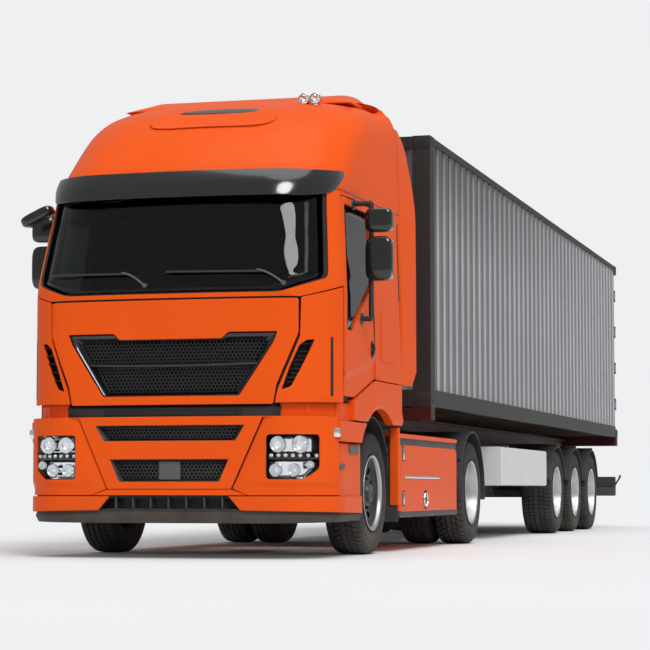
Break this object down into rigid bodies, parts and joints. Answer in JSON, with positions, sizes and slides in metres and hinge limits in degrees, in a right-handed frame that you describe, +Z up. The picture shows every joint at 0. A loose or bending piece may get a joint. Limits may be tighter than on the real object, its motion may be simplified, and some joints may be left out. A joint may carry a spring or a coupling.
{
  "type": "articulated container lorry",
  "caption": "Cab-over tractor unit with tilting cab, lifting front panel and opening doors, coupled to a container semi-trailer that turns on its kingpin.",
  "frame": {"origin": "middle of the overall length and of the wheel track, on the ground", "axes": "+X to the vehicle's left, +Y to the rear, +Z up"},
  "size_m": [3, 15.782, 3.85],
  "materials": {
    "orange_paint": "gloss",
    "black_plastic": "satin",
    "cab_trim": "matt",
    "seat_cloth": "matt",
    "chassis_steel": "satin",
    "lamp_lens": "gloss",
    "chrome": "polished",
    "glass": "clear",
    "tyre": "matt",
    "black_rim": "satin",
    "silver_rim": "satin",
    "trailer_paint": "satin",
    "white_paint": "gloss",
    "container_frame_paint": "satin",
    "container_paint": "satin",
    "floor_boards": "matt"
  },
  "bodies": {
    "tractor": {"tractor_frame": "chassis_steel", "engine_block": "chassis_steel", "front_axle": "chassis_steel", "drive_axle": "chassis_steel", "bumper": "orange_paint", "bumper_valance": "black_plastic", "lamps": "lamp_lens", "arch_liners": "black_plastic", "side_skirts": "orange_paint", "exhaust_tip": "chrome", "rear_mudguards": "black_plastic", "fifth_wheel": "chassis_steel"},
    "cab": {"cab_shell": "orange_paint", "cab_floor": "cab_trim", "front_fenders": "orange_paint", "cab_roof": "orange_paint", "windscreen": "glass", "sun_visor": "black_plastic", "side_deflectors": "orange_paint", "roof_lamps": "chrome", "dashboard": "cab_trim", "seats": "seat_cloth", "steering_wheel": "cab_trim"},
    "front_flap": {"front_flap": "orange_paint", "grille": "black_plastic"},
    "door_left": {"door_left": "orange_paint", "door_left_glass": "glass", "mirrors_left": "black_plastic"},
    "door_right": {"door_right": "orange_paint", "door_right_glass": "glass", "mirrors_right": "black_plastic"},
    "knuckle_left": {"knuckle_left": "chassis_steel"},
    "knuckle_right": {"knuckle_right": "chassis_steel"},
    "front_wheel_left": {"tyre_front_left": "tyre", "rim_front_left": "black_rim"},
    "front_wheel_right": {"tyre_front_right": "tyre", "rim_front_right": "black_rim"},
    "drive_wheels_left": {"tyres_drive_left": "tyre", "rims_drive_left": "silver_rim"},
    "drive_wheels_right": {"tyres_drive_right": "tyre", "rims_drive_right": "silver_rim"},
    "trailer": {"trailer_frame": "trailer_paint", "landing_legs": "chassis_steel", "trailer_axles": "chassis_steel", "trailer_mudguards": "black_plastic", "side_lockers": "white_paint", "underrun_bar": "chassis_steel", "container_frame": "container_frame_paint", "container_walls": "container_paint", "container_floor": "floor_boards"},
    "container_door_left": {"container_door_left": "container_paint"},
    "container_door_right": {"container_door_right": "container_paint"},
    "trailer_wheel_1_left": {"trailer_wheel_1_left": "tyre"},
    "trailer_wheel_1_right": {"trailer_wheel_1_right": "tyre"},
    "trailer_wheel_2_left": {"trailer_wheel_2_left": "tyre"},
    "trailer_wheel_2_right": {"trailer_wheel_2_right": "tyre"},
    "trailer_wheel_3_left": {"trailer_wheel_3_left": "tyre"},
    "trailer_wheel_3_right": {"trailer_wheel_3_right": "tyre"}
  },
  "joints": [
    {"name": "cab_tilt", "type": "hinge", "parent": "tractor", "child": "cab", "pos_m": [0, -7.735, 0.8], "axis": [1, 0, 0], "range_deg": [0, 60]},
    {"name": "flap_lift", "type": "hinge", "parent": "cab", "child": "front_flap", "pos_m": [0, -7.866, 1.945], "axis": [-1, 0, 0], "range_deg": [0, 75]},
    {"name": "trailer_turn", "type": "hinge", "parent": "tractor", "child": "trailer", "pos_m": [0, -3.091, 1.1], "axis": [0, 0, 1], "range_deg": [-90, 90]},
    {"name": "door_swing_left", "type": "hinge", "parent": "cab", "child": "door_left", "pos_m": [1.226, -7.433, 1.6], "axis": [0, 0, -1], "range_deg": [0, 75]},
    {"name": "steer_left", "type": "hinge", "parent": "tractor", "child": "knuckle_left", "pos_m": [0.85, -6.291, 0.49], "axis": [0, 0, 1], "range_deg": [-38, 38]},
    {"name": "front_spin_left", "type": "hinge", "parent": "knuckle_left", "child": "front_wheel_left", "pos_m": [1.03, -6.291, 0.49], "axis": [1, 0, 0], "continuous": true},
    {"name": "drive_spin_left", "type": "hinge", "parent": "tractor", "child": "drive_wheels_left", "pos_m": [0.915, -2.591, 0.49], "axis": [1, 0, 0], "continuous": true},
    {"name": "container_door_swing_left", "type": "hinge", "parent": "trailer", "child": "container_door_left", "pos_m": [1.199, 7.847, 2.5], "axis": [0, 0, -1], "range_deg": [0, 270]},
    {"name": "door_swing_right", "type": "hinge", "parent": "cab", "child": "door_right", "pos_m": [-1.226, -7.433, 1.6], "axis": [0, 0, 1], "range_deg": [0, 75]},
    {"name": "steer_right", "type": "hinge", "parent": "tractor", "child": "knuckle_right", "pos_m": [-0.85, -6.291, 0.49], "axis": [0, 0, 1], "range_deg": [-38, 38]},
    {"name": "front_spin_right", "type": "hinge", "parent": "knuckle_right", "child": "front_wheel_right", "pos_m": [-1.03, -6.291, 0.49], "axis": [1, 0, 0], "continuous": true},
    {"name": "drive_spin_right", "type": "hinge", "parent": "tractor", "child": "drive_wheels_right", "pos_m": [-0.915, -2.591, 0.49], "axis": [1, 0, 0], "continuous": true},
    {"name": "container_door_swing_right", "type": "hinge", "parent": "trailer", "child": "container_door_right", "pos_m": [-1.199, 7.847, 2.5], "axis": [0, 0, 1], "range_deg": [0, 270]},
    {"name": "trailer_spin_1_left", "type": "hinge", "parent": "trailer", "child": "trailer_wheel_1_left", "pos_m": [1.025, 2.669, 0.49], "axis": [1, 0, 0], "continuous": true},
    {"name": "trailer_spin_1_right", "type": "hinge", "parent": "trailer", "child": "trailer_wheel_1_right", "pos_m": [-1.025, 2.669, 0.49], "axis": [1, 0, 0], "continuous": true},
    {"name": "trailer_spin_2_left", "type": "hinge", "parent": "trailer", "child": "trailer_wheel_2_left", "pos_m": [1.025, 4.049, 0.49], "axis": [1, 0, 0], "continuous": true},
    {"name": "trailer_spin_2_right", "type": "hinge", "parent": "trailer", "child": "trailer_wheel_2_right", "pos_m": [-1.025, 4.049, 0.49], "axis": [1, 0, 0], "continuous": true},
    {"name": "trailer_spin_3_left", "type": "hinge", "parent": "trailer", "child": "trailer_wheel_3_left", "pos_m": [1.025, 5.429, 0.49], "axis": [1, 0, 0], "continuous": true},
    {"name": "trailer_spin_3_right", "type": "hinge", "parent": "trailer", "child": "trailer_wheel_3_right", "pos_m": [-1.025, 5.429, 0.49], "axis": [1, 0, 0], "continuous": true}
  ],
  "couplings": [
    {"joint": "steer_right", "follows": "steer_left", "ratio": 1}
  ]
}
